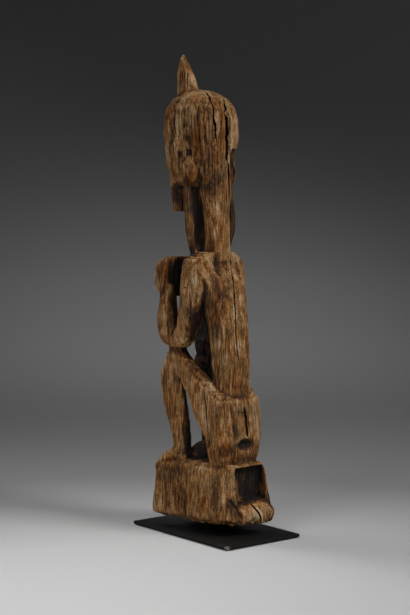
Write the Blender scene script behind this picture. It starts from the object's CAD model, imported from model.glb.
"""A squatting ancestor figure of weathered wood on a thin steel stand: its finish, light and camera."""
import math

import bpy
import numpy as np
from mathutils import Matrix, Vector, noise
from mathutils.bvhtree import BVHTree


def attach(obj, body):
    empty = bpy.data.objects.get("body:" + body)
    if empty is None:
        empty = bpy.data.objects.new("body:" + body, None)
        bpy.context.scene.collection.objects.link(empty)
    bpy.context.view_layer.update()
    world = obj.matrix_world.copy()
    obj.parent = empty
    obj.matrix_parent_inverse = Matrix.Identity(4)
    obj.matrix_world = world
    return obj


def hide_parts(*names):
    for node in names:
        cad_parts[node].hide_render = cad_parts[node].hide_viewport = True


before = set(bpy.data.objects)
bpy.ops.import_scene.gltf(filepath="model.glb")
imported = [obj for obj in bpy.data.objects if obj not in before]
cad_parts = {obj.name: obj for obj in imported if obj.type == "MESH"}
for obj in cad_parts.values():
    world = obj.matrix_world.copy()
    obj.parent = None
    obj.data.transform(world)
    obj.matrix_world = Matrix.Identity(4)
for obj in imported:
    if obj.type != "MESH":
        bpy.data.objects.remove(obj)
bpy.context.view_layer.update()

MM = 0.001

# The figure's own axes: it is turned on its block and stands a little off the plate's centre.
TURN = math.radians(6)
STAND_POINT = np.array([-2.4, 2.4, 0.0])
TURN_MATRIX = np.array([
    [math.cos(TURN), -math.sin(TURN), 0.0],
    [math.sin(TURN), math.cos(TURN), 0.0],
    [0.0, 0.0, 1.0],
])

# Fineness of the carved mesh, in mm; its cells are taller than wide, as the grain is
VOXEL = 1.15
GRAIN_SQUASH = 0.5
MOST_TRIANGLES = 196000

# Rounds of smoothing: those that take away the cells' steps, with the swelling that keeps the size, those
# that wear an edge round, and those that ridges and crests are measured against
CELL_ROUNDS = 22
CELL_SWELL = 0.52
WEAR_ROUNDS = 60
RIDGE_ROUNDS = 3
CREST_ROUNDS = 24

# Rays that find how shut in a point is: how many, how far out they start, how far they look
SKY_RAYS = 20
SKY_START = 0.8
SKY_REACH = 90.0

# Height of the finial's tip
TIP = 722.0

# Edges that turn by more than this are sharp, on the wood and on the stand.
WOOD_SHARP = math.radians(55)
STAND_SHARP = math.radians(40)

rng = np.random.default_rng(7)


def only(obj):
    """Leaves obj alone selected and active."""
    bpy.ops.object.select_all(action="DESELECT")
    obj.select_set(True)
    bpy.context.view_layer.objects.active = obj


def modify(obj, kind, **settings):
    """Adds one modifier to obj and applies it."""
    only(obj)
    modifier = obj.modifiers.new(kind.lower(), kind)
    for name, value in settings.items():
        setattr(modifier, name, value)
    bpy.ops.object.modifier_apply(modifier=modifier.name)


def copied(node, name):
    """A loose copy of a CAD node, with its doubles merged."""
    obj = bpy.data.objects.new(name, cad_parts[node].data.copy())
    obj.data.name = name
    obj.data.materials.clear()
    bpy.context.scene.collection.objects.link(obj)
    only(obj)
    bpy.ops.object.mode_set(mode="EDIT")
    bpy.ops.mesh.select_all(action="SELECT")
    bpy.ops.mesh.remove_doubles(threshold=0.001 * MM)
    bpy.ops.mesh.normals_make_consistent(inside=False)
    bpy.ops.object.mode_set(mode="OBJECT")
    return obj


def stretch_along_grain(obj, factor):
    """Stretches obj upwards from the ground, or squashes it with a factor below 1."""
    only(obj)
    bpy.ops.object.mode_set(mode="EDIT")
    bpy.ops.mesh.select_all(action="SELECT")
    bpy.ops.transform.resize(value=(1, 1, factor), center_override=(0, 0, 0))
    bpy.ops.object.mode_set(mode="OBJECT")


def read_mesh(obj):
    """Places and outward directions of a mesh's vertices, in the figure's axes and millimetres."""
    count = len(obj.data.vertices)
    place = np.empty(3 * count, np.float32)
    outward = np.empty(3 * count, np.float32)
    obj.data.vertices.foreach_get("co", place)
    obj.data.vertices.foreach_get("normal", outward)
    at = (place.reshape(-1, 3).astype(float) / MM - STAND_POINT) @ TURN_MATRIX
    return at, outward.reshape(-1, 3).astype(float) @ TURN_MATRIX


def write_mesh(obj, at):
    """Moves a mesh's vertices to places given in the figure's axes and millimetres."""
    place = (at @ TURN_MATRIX.T + STAND_POINT) * MM
    obj.data.vertices.foreach_set("co", place.astype(np.float32).ravel())
    obj.data.update()


def smooth_step(value, low, high):
    """0 up to low, 1 from high, with an eased rise between; it falls when high is below low."""
    share = np.clip((value - low) / (high - low), 0, 1)
    return share * share * (3 - 2 * share)


def grain_noise(at, across, along, seed, octaves=1):
    """Noise of about -1 to 1, across mm wide and along mm long, running up the log."""
    cells = at / (across, across, along) + (3.7 * seed, 1.9 * seed, 5.3 * seed)
    return np.array([noise.fractal(cell, 1.0, 2.0, octaves) for cell in cells.tolist()])


def near_path(at, path):
    """Distance of each point from a path, and how far along it that is, from 0 to 1."""
    path = np.array(path, float)
    lengths = np.linalg.norm(np.diff(path, axis=0), axis=1)
    passed = np.concatenate([[0], np.cumsum(lengths)])
    gap = np.full(len(at), np.inf)
    share = np.zeros(len(at))
    for i, length in enumerate(lengths):
        span = path[i + 1] - path[i]
        part = np.clip((at - path[i]) @ span / length**2, 0, 1)
        distance = np.linalg.norm(at - path[i] - part[:, None] * span, axis=1)
        nearer = distance < gap
        gap[nearer] = distance[nearer]
        share[nearer] = (passed[i] + part[nearer] * length) / passed[-1]
    return gap, share


def groove(at, path, width, depth, fade):
    """How deep a worn groove along a path cuts at each point; its ends run out over the fade."""
    gap, share = near_path(at, path)
    full = smooth_step(np.minimum(share, 1 - share), 0, fade)
    return depth * full * smooth_step(gap, width / 2, 0)


def spot(at, centre, radii):
    """1 at the centre of an egg-shaped spot, 0 at its rim."""
    reach = np.linalg.norm((at - centre) / radii, axis=1)
    return smooth_step(reach, 1, 0)


def softened(obj, at, rounds, swell=0.0):
    """The places after averaging each with its neighbours; swell undoes each round's shrinking."""
    pairs = np.empty(2 * len(obj.data.edges), np.int32)
    obj.data.edges.foreach_get("vertices", pairs)
    one, other = pairs.reshape(-1, 2).T
    count = len(at)
    links = np.maximum(np.bincount(one, minlength=count) + np.bincount(other, minlength=count), 1)
    for pull in [0.5, -swell] * rounds if swell else [0.5] * rounds:
        mean = np.stack([
            np.bincount(one, at[other, k], count) + np.bincount(other, at[one, k], count)
            for k in range(3)
        ], axis=1) / links[:, None]
        at = at + pull * (mean - at)
    return at


# Paths of the widest cracks: from the finial's foot down the back of the head, down beside the right
# lobe of the hair, on the left temple, and on a buttock
CROWN_CRACK = [
    (28.8, -55, 656), (22.9, -46, 660.6), (15.5, -38.4, 664.3), (12.2, -24.7, 664.5), (9, -13, 661),
    (14, -5, 655), (18, 3, 649.5), (19, 9.6, 642), (21, 14, 630), (22.9, 15.7, 619.5),
    (19.3, 16.3, 597.6), (16, 15, 575), (15, 15, 562),
]
BACK_CRACK = [
    (-12, -6, 657), (-9, 4.8, 649), (-5.7, 13.3, 638), (-2.5, 17.9, 620), (-3.8, 17.4, 591),
    (-6.1, 16.2, 576), (-8, 14.5, 555), (-11.8, 12.7, 517), (-12, 13, 500),
]
TEMPLE_CRACK = [(40.3, -64.6, 634), (44.3, -56, 614), (45.8, -45.8, 594), (46, -41, 584)]
BUTTOCK_CRACK = [(-1, 53, 197), (-1.9, 56, 188), (-3, 59, 170), (-4.7, 60, 150)]

# Cracks that split the wood: path on the surface, width where widest, depth
CRACKS = [
    # head
    (CROWN_CRACK, 3.3, 14),
    (BACK_CRACK, 4.4, 16),
    ([(-5, 14, 524), (-5.2, 14, 505), (-5, 14, 482)], 1.6, 8),
    (TEMPLE_CRACK, 3.0, 6),
    # spine
    ([
        (-10, 13, 424), (-10, 16.6, 420), (-9.6, 18.2, 412), (-10.5, 18.5, 403), (-9.4, 21.6, 394.6),
        (-6.8, 25.9, 386), (-3, 31, 376), (-1, 33.3, 368), (1.8, 37.8, 354), (4.6, 41.7, 339),
        (7, 45, 325), (8.8, 47.5, 308), (7.5, 49.2, 288), (6.5, 50.3, 266),
    ], 3.0, 13),
    ([(12, 48, 296), (12.5, 49, 282), (11, 49.5, 268)], 2.0, 5),
    ([(2, 49, 292), (2.3, 49.8, 280)], 2.0, 5),
    # thigh, buttocks and lump
    ([(42.5, 16.7, 222), (44, 20, 205), (45, 24, 180), (45.5, 27, 150), (45.5, 28, 134)], 2.8, 9),
    ([(-42.5, 16.7, 222), (-44, 20, 205), (-45, 24, 180), (-45.5, 27, 146)], 2.4, 7),
    (BUTTOCK_CRACK, 4.2, 12),
    ([(-21, 52, 200), (-22, 55, 186), (-24, 57, 166)], 2.0, 6),
    ([(6.8, 75, 54), (4, 81, 49), (1.2, 86.3, 42.5), (-2, 88, 35), (-6, 86, 24)], 3.0, 12),
    # foot of the finial
    ([(17, -68, 659), (16, -56, 661), (8, -48, 665), (1, -38, 667), (-4, -27, 667)], 2.6, 4),
    # side of the block
    ([(57, -61.7, 98), (58, -60, 70), (58.6, -58, 34)], 1.7, 6),
    ([(55.3, -45.7, 98), (56.5, -44, 60), (57.9, -43, 30)], 1.5, 5),
    ([(44.8, 23.3, 98), (46.8, 25.3, 73), (49, 28, 46)], 1.6, 5),
    ([(-50, -20, 96), (-53, -21, 60), (-55, -22, 34)], 1.8, 6),
    ([(10, -78, 92), (11, -80, 60), (9, -81, 36)], 1.8, 6),
    # front and right of the body
    ([(-45, -30, 250), (-46, -34, 205), (-44, -30, 165)], 1.6, 6),
    ([(-50, -6, 402), (-52, -8, 372), (-53, -10, 345)], 1.5, 5),
    ([(-46, -45, 640), (-46, -42, 605), (-46, -44, 570)], 2.4, 8),
]

# Worn furrows between the ribs of the hair
HEAD_GROOVES = [
    [(44.5, -47, 630), (46, -43, 612), (46.1, -40, 592)],
    [(43.2, -27, 641), (46.8, -24, 622), (46.9, -26, 600)],
    [(42.5, -10, 637), (45, -10, 615), (45, -8, 588)],
    [(39, -3, 640), (42, 0, 620), (42, 1, 604)],
    [(35.7, 5.6, 634), (35, 8.5, 612), (34.6, 8.7, 588), (32, 8, 566)],
    [(25.2, 13.8, 628), (24, 15, 606), (22.3, 15, 580)],
    [(-44, -30, 641), (-47, -26, 615), (-46, -27, 580)],
    [(-42, -12, 640), (-45, -9, 612), (-44, -8, 575)],
    [(-36, 5, 640), (-37, 8, 612), (-36, 6, 584)],
    [(-30, -89, 640), (-31, -90, 628)],
]

# Cuts of the carver's blade: finial, toes, fingers, beard, and the lines of mouth and lids
FINIAL_LINES = [
    [(13.8, -69.6, 667), (12.7, -70.5, 683), (9.8, -72.2, 701)],
    [(14.5, -64.4, 665), (13, -66, 683), (9.1, -69.9, 704)],
    [(14.3, -59.3, 665), (12.4, -61.2, 683), (7.1, -66.6, 706)],
    [(13.3, -55.9, 666), (10.9, -58.4, 686), (5.6, -63.8, 703)],
    [(11.3, -52.5, 668), (8.3, -55.6, 683), (5.2, -58.8, 694)],
]
TOE_PLACES = (23.5, 31.5, 39.5, 47)
FINGER_HEIGHTS = (371, 382, 393, 404)
BEARD_PLACES = (-9, -3, 3, 9)


def mirrored(path):
    """The same path on the figure's other side."""
    return [(-x, y, z) for x, y, z in path]


def carved_lines():
    """Path, width and depth of each blade cut."""
    lines = [(path, 2.4, 3.0) for path in FINIAL_LINES]
    lines += [(mirrored(path), 2.2, 2.6) for path in FINIAL_LINES[:4]]
    for side in (-1, 1):
        for x in TOE_PLACES:
            lines.append(([(side * x, -68, 112), (side * x, -79, 103), (side * x, -83, 94)], 2.2, 3.5))
        for z in FINGER_HEIGHTS:
            lines.append(([(side * 45, -88, z), (side * 38, -94, z - 1), (side * 14, -95, z - 3)], 2.0, 2.4))
    for x in BEARD_PLACES:
        lines.append(([(1.3 * x, -89, 532), (x, -89, 510), (x, -88, 490)], 1.8, 2.0))
    lines.append(([(-11, -87, 551.5), (-5, -90, 551), (5, -90, 551), (11, -87, 551.5)], 1.8, 2.6))
    for side in (-1, 1):
        lid = [(side * 9, -88, 588.5), (side * 17, -90, 586.5), (side * 25, -87, 588.5)]
        lines.append((lid, 1.6, 2.0))
    return lines


# Holes of boring insects: place, radius
HOLES = [
    ((20.6, 0.8, 494.6), 1.3), ((19.3, 1.7, 477), 1.1), ((27.2, 57.8, 155.4), 1.2), ((36, 54, 162), 1.1),
    ((31, 57, 158), 0.9), ((12, 55, 168), 0.9), ((-8, 14, 440), 0.9), ((40, -60, 225), 1.0),
    ((30, -60, 405), 0.8), ((-47, -40, 600), 1.2), ((-30, 12, 585), 1.0), ((50, -10, 350), 0.9),
    ((4, -95, 562.5), 1.3), ((-4, -95, 562.5), 1.3),
]
MORE_HOLES = 26
MORE_HOLES_RADIUS = (0.6, 1.1)

# Small cracks: how many, half their height, width and depth, and the clear wood left between them
SMALL_CRACKS = 170
SMALL_CRACK_HALF = (6, 26)
SMALL_CRACK_WIDTH = (0.8, 1.7)
SMALL_CRACK_DEPTH = (1.5, 4.5)
CLEAR_ABOVE = 6
CLEAR_BESIDE = 7
CRACK_POINTS = 5

# A blade's wedge: distance of its rows, how far it stands out, and how much wider it is there
BLADE_STEP = 4
BLADE_LIFT = 2.5
BLADE_FLARE = 1.25

# A bored hole: how far its peg stands out, and its depth and height as multiples of its radius
BORE_LIFT = 2.0
BORE_DEPTH = 7.0
BORE_HEIGHT = 1.4


def blade(tree, path, width, depth, wander=0.18):
    """Corners and faces of a wedge that follows the surface under a path, a little unsteadily."""
    path = np.array(path, float)
    steps = np.linalg.norm(np.diff(path, axis=0), axis=1)
    passed = np.concatenate([[0], np.cumsum(steps)])
    count = max(4, int(passed[-1] / BLADE_STEP))
    shares = np.linspace(0, 1, count)
    line = np.stack([np.interp(shares * passed[-1], passed, path[:, k]) for k in range(3)], axis=1)
    drift = rng.uniform(0, 100)
    found = [tree.find_nearest(Vector(point))[:2] for point in line]
    corners = []
    for i in range(count):
        close = found[max(i - 2, 0):i + 3]
        near = found[i][0]
        normal = sum((n for _, n in close), Vector()).normalized()
        ahead = Vector(line[min(i + 1, count - 1)] - line[max(i - 1, 0)]).normalized()
        side = ahead.cross(normal).normalized()
        open_share = math.sin(math.pi * (0.06 + 0.88 * shares[i])) ** 0.5
        open_share *= 1 + 0.35 * noise.noise((0.45 * i, 0, drift))
        half = 0.5 * width * open_share
        sway = width * (noise.noise((0.2 * i, drift, 0)) + 0.12 * rng.normal())
        middle = near + side * wander * sway
        corners += [
            middle + normal * BLADE_LIFT + side * half * BLADE_FLARE,
            middle + normal * BLADE_LIFT - side * half * BLADE_FLARE,
            middle - normal * depth * open_share,
        ]
    faces = [(0, 1, 2), tuple(3 * (count - 1) + k for k in (2, 1, 0))]
    for i in range(count - 1):
        for k in range(3):
            j = (k + 1) % 3
            faces.append((3 * i + j, 3 * i + k, 3 * i + 3 + k, 3 * i + 3 + j))
    return corners, faces


def bore(tree, place, radius):
    """Corners and faces of a short six-sided peg that stands in the surface."""
    near, normal, _, _ = tree.find_nearest(Vector(place))
    across = normal.orthogonal().normalized()
    upward = normal.cross(across)
    corners = []
    for reach in (BORE_LIFT, -BORE_DEPTH * radius):
        for k in range(6):
            turn = k * math.pi / 3
            rim = across * math.cos(turn) + upward * BORE_HEIGHT * math.sin(turn)
            corners.append(near + normal * reach + rim * radius)
    faces = [tuple(range(6)), tuple(range(11, 5, -1))]
    faces += [(k, k + 6, (k + 1) % 6 + 6, (k + 1) % 6) for k in range(6)]
    return corners, faces


def cut(obj, shapes):
    """Cuts shapes that don't touch each other out of obj, all at once."""
    corners, faces = [], []
    for shape_corners, shape_faces in shapes:
        faces += [tuple(len(corners) + k for k in face) for face in shape_faces]
        corners += shape_corners
    mesh = bpy.data.meshes.new("cutter")
    places = (np.array(corners, float) @ TURN_MATRIX.T + STAND_POINT) * MM
    mesh.from_pydata(places.tolist(), [], faces)
    cutter = bpy.data.objects.new("cutter", mesh)
    bpy.context.scene.collection.objects.link(cutter)
    only(cutter)
    bpy.ops.object.mode_set(mode="EDIT")
    bpy.ops.mesh.select_all(action="SELECT")
    bpy.ops.mesh.normals_make_consistent(inside=False)
    bpy.ops.mesh.quads_convert_to_tris()
    bpy.ops.object.mode_set(mode="OBJECT")
    modify(obj, "BOOLEAN", operation="DIFFERENCE", object=cutter, solver="MANIFOLD")
    bpy.data.objects.remove(cutter)


def small_cracks(tree, at, outward):
    """Short thin cracks along the grain, wherever the surface is steep and clear of the last ones."""
    steep = np.flatnonzero(np.abs(outward[:, 2]) < 0.5)
    taken = []
    shapes = []
    while len(shapes) < SMALL_CRACKS:
        middle = at[rng.choice(steep)]
        half = rng.uniform(*SMALL_CRACK_HALF)
        width = rng.uniform(*SMALL_CRACK_WIDTH)
        depth = rng.uniform(*SMALL_CRACK_DEPTH)
        crowded = any(
            math.dist(middle, other) < CLEAR_ABOVE + half + other_half
            and math.hypot(*(middle - other)[:2]) < CLEAR_BESIDE
            for other, other_half in taken
        )
        if crowded:
            continue
        path = []
        for step in np.linspace(-1, 1, CRACK_POINTS):
            near, normal, _, gap = tree.find_nearest(Vector(middle + (0, 0, half * step)))
            if gap < 3 and abs(normal.z) < 0.6:
                path.append(near)
        if len(path) == CRACK_POINTS:
            taken.append((middle, half))
            shapes.append(blade(tree, path, width, depth, wander=0.3))
    return shapes


def surface_tree(obj):
    """A search tree of obj's surface in the figure's axes."""
    at, _ = read_mesh(obj)
    return BVHTree.FromPolygons(at.tolist(), [p.vertices[:] for p in obj.data.polygons])


# Fuller places of the surface, or hollows where the height is below 0: centre, half-sizes, height
SWELLINGS = [
    # shoulder blades, and the flared lower corner of the block
    ((20, 18, 400), (9, 14, 34), -2.5), ((-24, 22, 392), (9, 14, 34), -2.0),
    ((60, -78, 26), (26, 30, 60), 5.0),
    # knob under the left ear, and the hollows round it
    ((43, -12, 545), (12, 13, 22), 2.4), ((45.4, -33, 570), (6, 6, 8), -2.6),
    ((45.2, -14, 573), (6, 6, 8), -2.6), ((40, -4, 560), (6, 6, 8), -2.6), ((44, -52, 588), (6, 6, 8), -2.6),
]

# The same for what both sides have, given for the left one
PAIRED_SWELLINGS = [
    # thigh, toes, forearm, upper corner of the hands, and ear
    ((47, 4, 190), (12, 14, 40), 1.6), ((48, -60, 117), (12, 18, 12), 3.0),
    ((52, -74, 325), (16, 18, 44), 2.6), ((44, -80, 402), (16, 20, 16), 4.5),
    ((46, -20, 593), (6, 6, 9), -1.6),
    # wood left between elbow and knee, and the front of the throat
    ((33, -50, 271), (24, 28, 15), 5.0), ((30, -29, 265), (15, 20, 13), 4.5),
    ((12, -42, 488), (16, 26, 70), 5.5),
]

# Worn grooves: path, width, depth, and the share of its length over which each end fades
GROOVES = [
    # mouths of the great cracks
    (BACK_CRACK[1:7], 17, 3.6, 0.1), (CROWN_CRACK[5:11], 9, 1.4, 0.15), (TEMPLE_CRACK, 9, 1.5, 0.15),
    (BUTTOCK_CRACK, 13, 2.5, 0.15),
    # beside the lump, and round the finial's foot
    ([(40, 62, 64), (31.6, 70.6, 50.6), (21, 75, 32)], 9, 2.4, 0.1),
    ([
        (15, -79, 654), (18, -68, 658), (17, -56, 661), (9, -47, 665), (-2, -42, 667), (-12, -46, 664),
    ], 7, 4.5, 0.1),
]
GROOVES += [(path, 6.5, 2.2, 0.3) for path in HEAD_GROOVES]

# The same for both sides: the fold behind the thigh, the ear's raised rim, and between the fingers
PAIRED_GROOVES = [
    ([(40, 12, 232), (44, 20, 205), (46, 25, 170), (46, 28, 134)], 13, 2.8, 0.1),
    ([(46, -29, 590), (46.5, -25, 604), (46.5, -17, 608), (46, -11, 596)], 6, -0.9, 0.1),
]
PAIRED_GROOVES += [([(47, -80, z), (41, -94, z), (12, -98, z - 2)], 5, 2.4, 0.15) for z in FINGER_HEIGHTS]


def weather_broadly(at, outward):
    """The unevenness that a carved log has, and the larger worn hollows, lobes and chips."""
    x, y, z = at.T
    push = 1.2 * grain_noise(at, 30, 55, seed=1, octaves=2)
    push += 0.8 * grain_noise(at, 14, 40, seed=2, octaves=2)
    for centre, radii, height in SWELLINGS + PAIRED_SWELLINGS:
        push += height * spot(at, centre, radii)
    for centre, radii, height in PAIRED_SWELLINGS:
        push += height * spot(at, mirrored([centre])[0], radii)
    for path, width, depth, fade in GROOVES + PAIRED_GROOVES:
        push -= groove(at, path, width, depth, fade)
    for path, width, depth, fade in PAIRED_GROOVES:
        push -= groove(at, mirrored(path), width, depth, fade)
    # step under the right lobe of the hair
    step = smooth_step(z, 579, 576) * smooth_step(z, 520, 560)
    push -= 3.5 * step * smooth_step(x, -12, -16) * smooth_step(y, -14, -4)
    # knot hole with a ragged bottom
    ragged = 6.5 + 4.0 * grain_noise(at, 6, 8, seed=12, octaves=2)
    push -= ragged * spot(at, (1, 58, 140), (16, 14, 11))
    # chipped lower edge of the block
    chips = np.maximum(grain_noise(at, 22, 26, seed=9, octaves=3) + 0.15, 0)
    push -= 7 * chips * smooth_step(z, 40, 22)
    return at + outward * push[:, None]


def roughness_at(at):
    """How deep the grain is weathered at each point; 1 is usual."""
    x, y, z = at.T
    # deepest round the head, behind the face, and deeper on the block
    head_side = smooth_step(z, 515, 555) * smooth_step(z, 652, 632)
    rough = 0.85 + 0.95 * head_side * smooth_step(y, -80, -60) + 0.35 * smooth_step(z, 112, 100)
    # shallower on the finial, the neck, and the finial's smooth facet
    rough *= 1 - 0.6 * smooth_step(z, 648, 662)
    rough *= 1 - 0.35 * smooth_step(z, 424, 440) * smooth_step(z, 520, 500)
    rough *= 1 - 0.85 * spot(at, (-3, -54, 685), (12, 12, 26))
    return rough


def growth_rings(at):
    """Rings round the log's heart, from -1 to 1, where the shoulders and hips lay them bare."""
    x, y, z = at.T
    bare = smooth_step(z, 402, 412) * smooth_step(z, 436, 428)
    bare += smooth_step(z, 200, 210) * smooth_step(z, 245, 235)
    return bare * np.cos(1.5 * np.hypot(x, y + 8) + 4 * grain_noise(at, 16, 30, seed=7))


def weather_finely(at, outward):
    """Ridges along the grain, and pits and rings in the end grain."""
    x, y, z = at.T
    rough = roughness_at(at)
    flat = smooth_step(np.abs(outward[:, 2]), 0.55, 0.9)
    ridges = 0.85 * grain_noise(at, 6.5, 60, seed=3, octaves=2)
    valleys = 0.9 * (np.abs(grain_noise(at, 5.2, 48, seed=5)) ** 0.7 - 0.4)
    fine = 0.5 * grain_noise(at, 3.0, 18, seed=4, octaves=2)
    gouges = smooth_step(grain_noise(at, 4, 14, seed=10, octaves=2), 0.25, 0.7)
    push = rough * (1 - flat) * (ridges + valleys + fine - 0.6 * gouges)

    pitted = np.maximum(flat, smooth_step(z, 640, 655))
    pitted = np.maximum(pitted, spot(at, (15, 10, 530), (30, 14, 55)))
    pits = smooth_step(grain_noise(at, 3.4, 6, seed=8, octaves=2), 0.0, 0.6)
    push -= 0.9 * pitted * pits * np.minimum(rough, 1)

    at = at + outward * (push + 0.45 * flat * growth_rings(at))[:, None]
    at[:, 2] = np.minimum(at[:, 2], TIP)
    return at


def carve_figure():
    """The carved log as one detailed mesh, with what its finish follows stored on it."""
    obj = copied("figure", "carved_figure")
    stretch_along_grain(obj, GRAIN_SQUASH)
    modify(obj, "REMESH", mode="VOXEL", voxel_size=VOXEL * MM)
    stretch_along_grain(obj, 1 / GRAIN_SQUASH)
    at, _ = read_mesh(obj)
    at = softened(obj, at, CELL_ROUNDS, swell=CELL_SWELL)
    worn_round = painted(at, ROUNDED, np.zeros(len(at)))[:, None]
    write_mesh(obj, at + worn_round * (softened(obj, at, WEAR_ROUNDS) - at))
    for weather in (weather_broadly, weather_finely):
        at, outward = read_mesh(obj)
        write_mesh(obj, weather(at, outward))

    at, outward = read_mesh(obj)
    tree = surface_tree(obj)
    for path, width, depth in CRACKS:
        cut(obj, [blade(tree, path, width, depth)])
    cut(obj, [blade(tree, path, width, depth, wander=0.25) for path, width, depth in carved_lines()])
    cut(obj, small_cracks(tree, at, outward))
    bores = [bore(tree, place, radius) for place, radius in HOLES]
    for k in rng.choice(len(at), MORE_HOLES):
        bores.append(bore(tree, at[k], rng.uniform(*MORE_HOLES_RADIUS)))
    cut(obj, bores)
    modify(obj, "TRIANGULATE")
    modify(obj, "DECIMATE", ratio=min(1, MOST_TRIANGLES / len(obj.data.polygons)))
    record_surface(obj, tree)
    only(obj)
    bpy.ops.object.shade_smooth_by_angle(angle=WOOD_SHARP)
    return obj


def sky_directions(count):
    """Directions spread evenly over the half-sphere round +Z, closer together near its top."""
    turns = np.arange(count) * math.pi * (3 - math.sqrt(5))
    rise = np.sqrt((np.arange(count) + 0.5) / count)
    flat = np.sqrt(1 - rise**2)
    return np.stack([flat * np.cos(turns), flat * np.sin(turns), rise], axis=1)


def shut_in(at, outward, tree):
    """How much of the open air each point can't see, from 0 to 1."""
    helper = np.where(np.abs(outward[:, 2:]) < 0.9, [[0.0, 0.0, 1.0]], [[1.0, 0.0, 0.0]])
    across = np.cross(helper, outward)
    across /= np.linalg.norm(across, axis=1, keepdims=True)
    upward = np.cross(outward, across)
    blocked = np.zeros(len(at))
    starts = (at + outward * SKY_START).tolist()
    for x, y, z in sky_directions(SKY_RAYS):
        rays = (x * across + y * upward + z * outward).tolist()
        for i, start in enumerate(starts):
            if tree.ray_cast(start, rays[i], SKY_REACH)[3] is not None:
                blocked[i] += 1
    return blocked / SKY_RAYS


# Dark wood, stained or long sheltered: centre, half-sizes and strength of each spot
STAINS = [
    # head and neck
    ((-49, -14, 462), (22, 26, 95), 1.0), ((-30, 4, 540), (17, 18, 52), 1.0),
    ((-4.5, 17, 606), (5, 9, 36), 0.7), ((45.4, -33, 570), (6, 7, 8), 0.8),
    ((45.2, -14, 573), (5, 6, 6), 0.8), ((25, 11, 562), (15, 10, 20), 0.4),
    ((22, 12, 532), (13, 8, 30), 0.4), ((34, -6, 580), (26, 34, 70), 0.24),
    ((42, -18, 505), (16, 16, 50), 0.62), ((42, -18, 445), (16, 16, 48), 0.92),
    ((45, -50, 608), (6, 7, 28), 0.5), ((2, -40, 667), (14, 12, 4), 0.45),
    ((15, -68, 502), (12, 17, 34), 0.9), ((13, -62, 682), (5, 12, 28), 0.35),
    ((20, -55, 521), (28, 26, 9), 0.75), ((8, -40, 470), (20, 32, 100), 1.0),
    ((17, -20, 470), (9, 14, 80), 0.95), ((16, -64, 659), (7, 16, 4), 1.0),
    ((4, -44, 666), (16, 8, 4), 0.9),
    # arms and what the hands hold
    ((12, -61, 388), (42, 7, 42), 1.0), ((40, -54, 335), (17, 8, 60), 0.9),
    ((-40, -54, 335), (17, 8, 60), 0.8), ((26, -4, 312), (12, 14, 42), 0.9),
    ((-26, -4, 312), (12, 14, 42), 0.9), ((-22, -48, 290), (18, 40, 66), 1.0),
    ((20, -52, 300), (7, 20, 50), 0.7), ((44, -50, 312), (12, 9, 22), 0.85),
    ((18, 17, 404), (11, 8, 26), 0.55), ((30, 26, 374), (9, 12, 30), 0.5),
    ((38, 14, 362), (8, 10, 26), 0.45), ((36, 6, 338), (12, 12, 46), 0.5),
    ((36, -4, 305), (26, 20, 58), 0.85), ((50, -70, 335), (8, 14, 50), 0.5),
    ((48, -78, 388), (8, 16, 26), 0.34), ((52, -30, 340), (8, 12, 50), 0.15),
    # legs and hips
    ((38, -8, 248), (12, 22, 22), 0.25), ((36, -44, 273), (20, 26, 8), 0.55),
    ((29, -30, 268), (11, 16, 7), 0.8), ((-22, -42, 240), (14, 40, 46), 1.0),
    ((-20, -40, 180), (12, 36, 110), 0.8), ((-6, -30, 112), (46, 38, 46), 1.0),
    ((30, -29, 165), (17, 11, 72), 0.9), ((0, -20, 112), (44, 36, 14), 1.0),
    ((24, 4, 122), (24, 13, 26), 0.9), ((24, 14, 242), (9, 13, 18), 0.75),
    ((-24, 14, 242), (9, 13, 18), 0.75), ((1, 58, 140), (19, 10, 12), 1.35),
    ((-12, 58, 137), (12, 8, 8), 0.6), ((-3, 58, 172), (5, 8, 26), 0.5),
    ((34, 50, 134), (14, 14, 11), 0.4),
    # block
    ((-8, 74, 107), (30, 8, 4), 0.5), ((-8, 58, 84), (32, 18, 30), 1.15),
    ((-8, 66, 56), (34, 14, 9), 1.0), ((-34, 78, 56), (15, 13, 16), 0.95),
    ((37, 65, 56), (6, 8, 12), 0.5), ((31, 70, 47), (6, 8, 10), 0.4), ((25, 73, 36), (6, 8, 10), 0.4),
    ((-36, 80, 30), (18, 12, 16), 0.6), ((45, 42, 65), (6, 9, 40), 0.5), ((64, -80, 88), (9, 8, 26), 0.6),
    ((54, -18, 50), (6, 8, 30), 0.3), ((40, 10, 28), (30, 30, 7), 0.4),
]

# Places whose edges are worn round
ROUNDED = [
    ((-8, 66, 84), (44, 20, 42), 1.0), ((-32, -50, 289), (34, 44, 16), 0.8),
    ((30, -55, 118), (30, 40, 14), 0.6), ((-30, -55, 118), (30, 40, 14), 0.6),
    ((37, -80, 98), (18, 12, 12), 0.9), ((-37, -80, 98), (18, 12, 12), 0.9),
]

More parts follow.
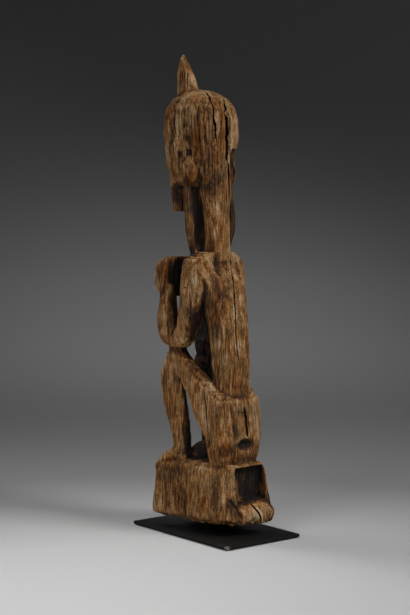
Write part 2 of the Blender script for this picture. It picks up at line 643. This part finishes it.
# Pale, worn wood
WORN = [
    ((-3, -54, 685), (10, 10, 22), 1.0), ((-25, 14, 620), (9, 9, 32), 0.8),
    ((12, -50, 690), (4, 12, 24), 0.3), ((38, -4, 418), (18, 24, 9), 0.75),
    ((-28, 8, 418), (18, 16, 9), 0.7), ((0, 10, 426), (28, 14, 7), 0.6),
    ((-12, 14, 455), (7, 6, 62), 0.6), ((33, 30, 226), (14, 13, 6), 0.7),
    ((13, 48, 218), (17, 9, 7), 0.7), ((-20, 48, 214), (17, 9, 7), 0.7), ((4, 82, 44), (26, 14, 20), 0.6),
    ((42, -46, 258), (14, 24, 20), 1.0), ((43, -4, 620), (10, 12, 20), 1.0),
    ((50, -55, 108), (13, 24, 10), 0.6), ((-50, -55, 108), (13, 24, 10), 0.5),
    ((26, 65, 80), (10, 9, 32), 0.35), ((41, 56, 74), (7, 9, 30), 0.7),
    ((41.6, -11.6, 539), (7, 8, 13), 0.6), ((46.5, -19, 605), (5, 8, 6), 0.5),
    ((-6, 60, 172), (5, 8, 26), 0.5), ((0, -94, 572), (9, 8, 14), 0.4), ((0, -86, 604), (30, 8, 6), 0.3),
    ((-42, -48, 262), (12, 22, 13), 0.5),
]


def painted(at, spots, edge):
    """The strongest of the spots at each point, from 0 to 1; edge makes their rims uneven."""
    value = np.zeros(len(at))
    for centre, radii, strength in spots:
        reach = np.linalg.norm((at - centre) / radii, axis=1) + edge
        value = np.maximum(value, strength * smooth_step(reach, 1.1, 0.5))
    return value


def put_on(obj, name, values):
    """Stores one number for each vertex under a name that the finish reads."""
    layer = obj.data.attributes.new(name, "FLOAT", "POINT")
    layer.data.foreach_set("value", values.astype(np.float32))


def record_surface(obj, skin):
    """Stores on the mesh what the finish follows: ridges, hollows, cracks, rings, stains and wear."""
    at, outward = read_mesh(obj)
    near = softened(obj, at, RIDGE_ROUNDS)
    far = softened(obj, at, CREST_ROUNDS)
    put_on(obj, "ridge", np.clip(((at - near) * outward).sum(1), -0.6, 0.22))
    put_on(obj, "crest", np.clip(((at - far) * outward).sum(1), -3.0, 1.2))
    put_on(obj, "hollow", shut_in(at, outward, surface_tree(obj)))
    put_on(obj, "deep", np.array([skin.find_nearest(point)[3] for point in at.tolist()]))
    put_on(obj, "rings", growth_rings(at))
    edge = 0.35 * grain_noise(at, 9, 22, seed=11, octaves=3)
    put_on(obj, "stain", painted(at, STAINS, edge))
    put_on(obj, "worn", painted(at, WORN, edge))


class Wire:
    """One socket in a material. Arithmetic on it adds Math nodes; node() adds any other node."""

    def __init__(self, tree, socket=None):
        self.tree = tree
        self.socket = socket

    def node(self, kind, settings=None, values=None, out=0):
        """Adds a node with its settings and inputs, and returns one of its outputs."""
        made = self.tree.nodes.new(kind)
        for name, value in (settings or {}).items():
            if name == "stops":
                set_ramp(made.color_ramp, value)
            else:
                setattr(made, name, value)
        for name, value in (values or {}).items():
            self.feed(made.inputs[name], value)
        return Wire(self.tree, made.outputs[out])

    def feed(self, socket, value):
        """Links a wire to an input, or sets the input's value."""
        if isinstance(value, Wire):
            self.tree.links.new(value.socket, socket)
        else:
            socket.default_value = value

    def maths(self, operation, *values):
        return self.node("ShaderNodeMath", {"operation": operation}, dict(enumerate(values)))

    def __add__(self, other):
        return self.maths("ADD", self, other)

    def __sub__(self, other):
        return self.maths("SUBTRACT", self, other)

    def __rsub__(self, other):
        return self.maths("SUBTRACT", other, self)

    def __mul__(self, other):
        return self.maths("MULTIPLY", self, other)

    __radd__ = __add__
    __rmul__ = __mul__

    def between(self, low, high):
        """0 up to low and 1 from high, or falling when high is below low."""
        if high < low:
            return 1 - self.between(high, low)
        settings = {"interpolation_type": "SMOOTHSTEP"}
        return self.node("ShaderNodeMapRange", settings, {"Value": self, "From Min": low, "From Max": high})


def set_ramp(ramp, stops):
    """Gives a colour ramp its stops, each a position and a colour."""
    while len(ramp.elements) < len(stops):
        ramp.elements.new(1.0)
    for element, (position, colour) in zip(ramp.elements, stops):
        element.position = position
        element.color = (*colour, 1.0)


def finish(name):
    """A new material, with a wire to build it from and its shader's sockets."""
    material = bpy.data.materials.new(name)
    material.use_nodes = True
    tree = material.node_tree
    shader = next(n for n in tree.nodes if n.type == "BSDF_PRINCIPLED")
    return material, Wire(tree), shader.inputs


# Colours: the wood from its darkest tone to its palest, the steel from clean to scuffed, and the felt
WOOD_COLOURS = [
    (0.0, (0.007, 0.005, 0.004)),
    (0.2, (0.030, 0.014, 0.008)),
    (0.4, (0.118, 0.051, 0.015)),
    (0.58, (0.240, 0.116, 0.036)),
    (0.76, (0.400, 0.232, 0.096)),
    (1.0, (0.620, 0.460, 0.290)),
]
STEEL_COLOURS = [(0.0, (0.007, 0.007, 0.007)), (0.3, (0.013, 0.013, 0.013)), (1.0, (0.30, 0.29, 0.27))]
FELT_COLOURS = [(0.3, (0.004, 0.004, 0.004)), (0.75, (0.02, 0.02, 0.02))]


def wood_finish():
    """Weathered brown wood: its tone follows the grain, hollows, cracks, stains and wear."""
    material, paint, shader = finish("weathered_wood")
    place = paint.node("ShaderNodeTexCoord", out="Object")
    drift = paint.node("ShaderNodeTexNoise", None, {"Vector": place, "Scale": 22.0, "Detail": 1.0}, 1)
    swayed = paint.node("ShaderNodeVectorMath", {"operation": "MULTIPLY_ADD"}, {
        0: drift, 1: (5 * MM, 5 * MM, 5 * MM), 2: place,
    })

    def grain(across, along, detail, seed):
        """Noise across mm wide and along mm long, running up the log."""
        cells = (1 / (across * MM), 1 / (across * MM), 1 / (along * MM))
        laid = paint.node("ShaderNodeMapping", None, {
            "Vector": swayed, "Location": (seed, 2 * seed, 3 * seed), "Scale": cells,
        })
        return paint.node("ShaderNodeTexNoise", None, {
            "Vector": laid, "Scale": 1.0, "Detail": detail, "Roughness": 0.6,
        })

    def stored(name):
        """A value stored on the mesh."""
        return paint.node("ShaderNodeAttribute", {"attribute_name": name}, out="Fac")

    patches = grain(34, 60, 3, 1)
    mottle = grain(11, 24, 2, 5)
    streaks = grain(4.2, 30, 3, 2)
    threads = grain(1.5, 20, 3, 3)
    specks = grain(1.2, 2.0, 2, 4)
    ridge = stored("ridge")
    hollow = stored("hollow").between(0.4, 1.0)
    deep = stored("deep").between(0.1, 1.0)
    stain = stored("stain")
    worn = stored("worn")

    tone = 0.532 + 0.9 * (patches - 0.5) + 0.62 * (mottle - 0.5) + 0.5 * (streaks - 0.5)
    tone = tone + 0.95 * (threads - 0.5) + 0.75 * (specks - 0.5) + 0.45 * ridge + 0.07 * stored("crest")
    tone = tone - 0.24 * hollow - 0.6 * deep - 0.46 * stain + 0.16 * worn + 0.07 * stored("rings")
    colour = paint.node("ShaderNodeValToRGB", {"stops": WOOD_COLOURS}, {"Fac": tone})
    redness = grain(17, 40, 2, 6) - 0.5
    tinted = paint.node("ShaderNodeHueSaturation", None, {
        "Color": colour, "Hue": 0.4955 - 0.05 * redness, "Saturation": 1.05 + 0.5 * redness,
    })
    paint.feed(shader["Base Color"], tinted)
    paint.feed(shader["Roughness"], 0.88 - 0.2 * stain)
    shader["Specular IOR Level"].default_value = 0.3
    height = 0.6 * streaks + 0.8 * threads + 0.5 * specks
    bump = paint.node("ShaderNodeBump", None, {
        "Strength": 1.0, "Distance": 1.6 * MM, "Height": height,
    })
    paint.feed(shader["Normal"], bump)
    return material


def steel_finish():
    """Black steel with faint smears, a scuffed corner and a scratch beside it."""
    material, paint, shader = finish("black_steel")
    place = paint.node("ShaderNodeTexCoord", out="Object")
    smears = paint.node("ShaderNodeTexNoise", None, {
        "Vector": place, "Scale": 14.0, "Detail": 4.0, "Roughness": 0.6,
    })
    specks = paint.node("ShaderNodeTexNoise", None, {
        "Vector": place, "Scale": 900.0, "Detail": 2.0, "Roughness": 0.5,
    })

    def near(point, across, along):
        """1 at a point of the plate, 0 beyond a box-like distance from it."""
        gap = paint.node("ShaderNodeVectorMath", {"operation": "SUBTRACT"}, {0: place, 1: point})
        stretch = (1 / across, 1 / along, 0)
        scaled = paint.node("ShaderNodeVectorMath", {"operation": "MULTIPLY"}, {0: gap, 1: stretch})
        reach = paint.node("ShaderNodeVectorMath", {"operation": "LENGTH"}, {0: scaled}, "Value")
        return reach.between(1.0, 0.4)

    scuff = near((69 * MM, 112 * MM, 0), 7 * MM, 6 * MM) + near((67 * MM, 95 * MM, 0), 0.8 * MM, 8 * MM)
    scuff = scuff * specks.between(0.38, 0.55)
    colour = paint.node("ShaderNodeValToRGB", {"stops": STEEL_COLOURS}, {
        "Fac": 0.3 * smears + 0.9 * scuff,
    })
    # the plate's middle lies in the wood's shade, and its sides are as dark
    height = paint.node("ShaderNodeSeparateXYZ", None, {"Vector": place}, "Z")
    sides = height.between(5.6 * MM, 5.2 * MM)
    sheltered = paint.maths("MAXIMUM", near((0, 0, 0), 45 * MM, 60 * MM), sides)
    paint.feed(shader["Base Color"], paint.node("ShaderNodeMixRGB", None, {
        "Fac": 0.8 * sheltered * (1 - scuff), "Color1": colour, "Color2": (0.002, 0.002, 0.002, 1),
    }))
    paint.feed(shader["Roughness"], 0.36 + 0.3 * (smears - 0.5) + 0.1 * (specks - 0.5) + 0.45 * sheltered)
    paint.feed(shader["Normal"], paint.node("ShaderNodeBump", None, {
        "Strength": 0.3, "Distance": 0.05 * MM, "Height": specks,
    }))
    shader["Specular IOR Level"].default_value = 0.32
    return material


def felt_finish():
    """Plain black felt."""
    material, paint, shader = finish("black_felt")
    place = paint.node("ShaderNodeTexCoord", out="Object")
    fluff = paint.node("ShaderNodeTexNoise", None, {
        "Vector": place, "Scale": 1500.0, "Detail": 3.0, "Roughness": 0.7,
    })
    colour = paint.node("ShaderNodeValToRGB", {"stops": FELT_COLOURS}, {"Fac": fluff})
    paint.feed(shader["Base Color"], colour)
    shader["Roughness"].default_value = 1.0
    shader["Specular IOR Level"].default_value = 0.1
    paint.feed(shader["Normal"], paint.node("ShaderNodeBump", None, {
        "Strength": 0.6, "Distance": 0.2 * MM, "Height": fluff,
    }))
    return material


def bevelled(node, name, width):
    """A loose copy of a CAD node with its sharp edges rounded; the bevel's width is in mm."""
    obj = copied(node, name)
    modify(obj, "BEVEL", width=width * MM, segments=2, limit_method="ANGLE", angle_limit=STAND_SHARP)
    return obj


def stand_parts():
    """The steel stand and the felt under it."""
    plate = bevelled("stand_plate", "steel_stand", 0.5)
    only(plate)
    bpy.ops.object.shade_smooth_by_angle(angle=STAND_SHARP)
    return plate, bevelled("felt_pad", "felt", 0.3)


# Studio floor and wall, in metres
FLOOR_RADIUS = 1.3
SWEEP_RADIUS = 3.0
SWEEP_STEPS = 10
WALL_HEIGHT = 2.5

# Greys of the floor, each after its distance from the pale place, where 1 stands for TONE_REACH metres
PALE_PLACE = (0.35, 0.3, 0.0)
TONE_REACH = 6
FLOOR_TONES = [(0.06, 0.66), (0.15, 0.36), (0.4, 0.56), (1.0, 0.7)]

# Soft lights, all equally far from what they look at: name, azimuth, elevation, size in metres, watts,
# spread in degrees, and the place they look at
LIGHT_DISTANCE = 2.2
OBJECT_MIDDLE = (0, 0, 0.35)
LIGHTS = [
    ("key", 202, 38, 0.8, 6.4, 90, OBJECT_MIDDLE),
    ("fill", 104, 26, 0.9, 2.5, 90, OBJECT_MIDDLE),
    ("pool", 120, 76, 0.8, 1.8, 44, (0.64, 0.2, 0)),
    ("front", 18, 44, 0.9, 1.6, 60, OBJECT_MIDDLE),
    ("backdrop", 141, 60, 1.0, 0.8, 60, (-1.35, -1.7, 0.0)),
]

# Strength of the faint light from all round
WORLD_STRENGTH = 0.1

# Camera: distance and height in metres, turns in degrees, focal length and picture height in pixels, and
# the sensor in mm
CAMERA_AZIMUTH = 141.02
CAMERA_DISTANCE = 2.228
CAMERA_HEIGHT = 0.502
CAMERA_PITCH = 4.14
CAMERA_YAW = 0.39
FOCAL_PIXELS = 1485
IMAGE_HEIGHT = 615
SENSOR = 36.0


def set_camera():
    """Puts the camera where the photograph was taken from."""
    azimuth = math.radians(CAMERA_AZIMUTH)
    place = (math.sin(azimuth) * CAMERA_DISTANCE, -math.cos(azimuth) * CAMERA_DISTANCE, CAMERA_HEIGHT)
    turn = (math.radians(90 - CAMERA_PITCH), 0, math.radians(CAMERA_AZIMUTH + CAMERA_YAW))
    bpy.ops.object.camera_add(location=place, rotation=turn)
    camera = bpy.context.object
    camera.data.sensor_width = SENSOR
    camera.data.lens = FOCAL_PIXELS / IMAGE_HEIGHT * SENSOR
    camera.data.clip_start = 0.05
    camera.data.clip_end = 100
    bpy.context.scene.camera = camera


def soft_box(name, azimuth, elevation, size, watts, spread, aim):
    """A square soft light that looks at a place from one side."""
    turn = math.radians(azimuth)
    rise = math.radians(elevation)
    away = Vector((math.sin(turn) * math.cos(rise), -math.cos(turn) * math.cos(rise), math.sin(rise)))
    bpy.ops.object.light_add(type="AREA", location=Vector(aim) + away * LIGHT_DISTANCE)
    light = bpy.context.object
    light.name = name
    light.data.shape = "SQUARE"
    light.data.size = size
    light.data.energy = watts
    light.data.spread = math.radians(spread)
    light.rotation_euler = away.to_track_quat("Z", "Y").to_euler()


def paint_all(obj, material):
    """Gives obj one material, on every face."""
    obj.data.materials.clear()
    obj.data.materials.append(material)
    obj.data.polygons.foreach_set("material_index", [0] * len(obj.data.polygons))


def floor_finish():
    """Matt grey, palest near one place and at the wall."""
    material, paint, shader = finish("pale_floor")
    place = paint.node("ShaderNodeTexCoord", out="Object")
    away = paint.node("ShaderNodeVectorMath", {"operation": "DISTANCE"}, {0: place, 1: PALE_PLACE}, "Value")
    stops = [(share, (grey, grey, grey)) for share, grey in FLOOR_TONES]
    paint.feed(shader["Base Color"], paint.node("ShaderNodeValToRGB", {"stops": stops}, {
        "Fac": away * (1 / TONE_REACH),
    }))
    shader["Roughness"].default_value = 0.9
    return material


def studio_floor():
    """A round floor that sweeps up into a wall far behind the object, whichever side it is seen from."""
    bpy.ops.mesh.primitive_circle_add(vertices=96, radius=FLOOR_RADIUS, fill_type="NGON")
    floor = bpy.context.object
    floor.name = "floor"
    only(floor)
    bpy.ops.object.mode_set(mode="EDIT")
    bpy.ops.mesh.select_all(action="SELECT")
    reach, height = FLOOR_RADIUS, 0.0
    for step in range(1, SWEEP_STEPS + 1):
        turn = 0.5 * math.pi * step / SWEEP_STEPS
        new_reach = FLOOR_RADIUS + SWEEP_RADIUS * math.sin(turn)
        new_height = SWEEP_RADIUS * (1 - math.cos(turn))
        raise_rim(new_reach / reach, new_height - height)
        reach, height = new_reach, new_height
    raise_rim(1.0, WALL_HEIGHT)
    bpy.ops.object.mode_set(mode="OBJECT")
    bpy.ops.object.shade_smooth()
    paint_all(floor, floor_finish())


def raise_rim(scale, lift):
    """Extrudes the selected rim outwards and upwards."""
    bpy.ops.mesh.extrude_region_move(TRANSFORM_OT_translate={"value": (0, 0, lift)})
    bpy.ops.transform.resize(value=(scale, scale, 1), center_override=(0, 0, 0))


def set_studio():
    """Floor, faint light from all round, and the soft lights."""
    studio_floor()
    world = bpy.data.worlds.new("studio")
    world.use_nodes = True
    background = next(n for n in world.node_tree.nodes if n.type == "BACKGROUND")
    background.inputs["Color"].default_value = (1, 1, 1, 1)
    background.inputs["Strength"].default_value = WORLD_STRENGTH
    bpy.context.scene.world = world
    for light in LIGHTS:
        soft_box(*light)
    bpy.context.scene.view_settings.view_transform = "Standard"


set_camera()
set_studio()

carved = carve_figure()
paint_all(carved, wood_finish())
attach(carved, "root")
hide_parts("figure")

stand, felt = stand_parts()
paint_all(stand, steel_finish())
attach(stand, "root")
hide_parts("stand_plate")
paint_all(felt, felt_finish())
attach(felt, "root")
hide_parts("felt_pad")
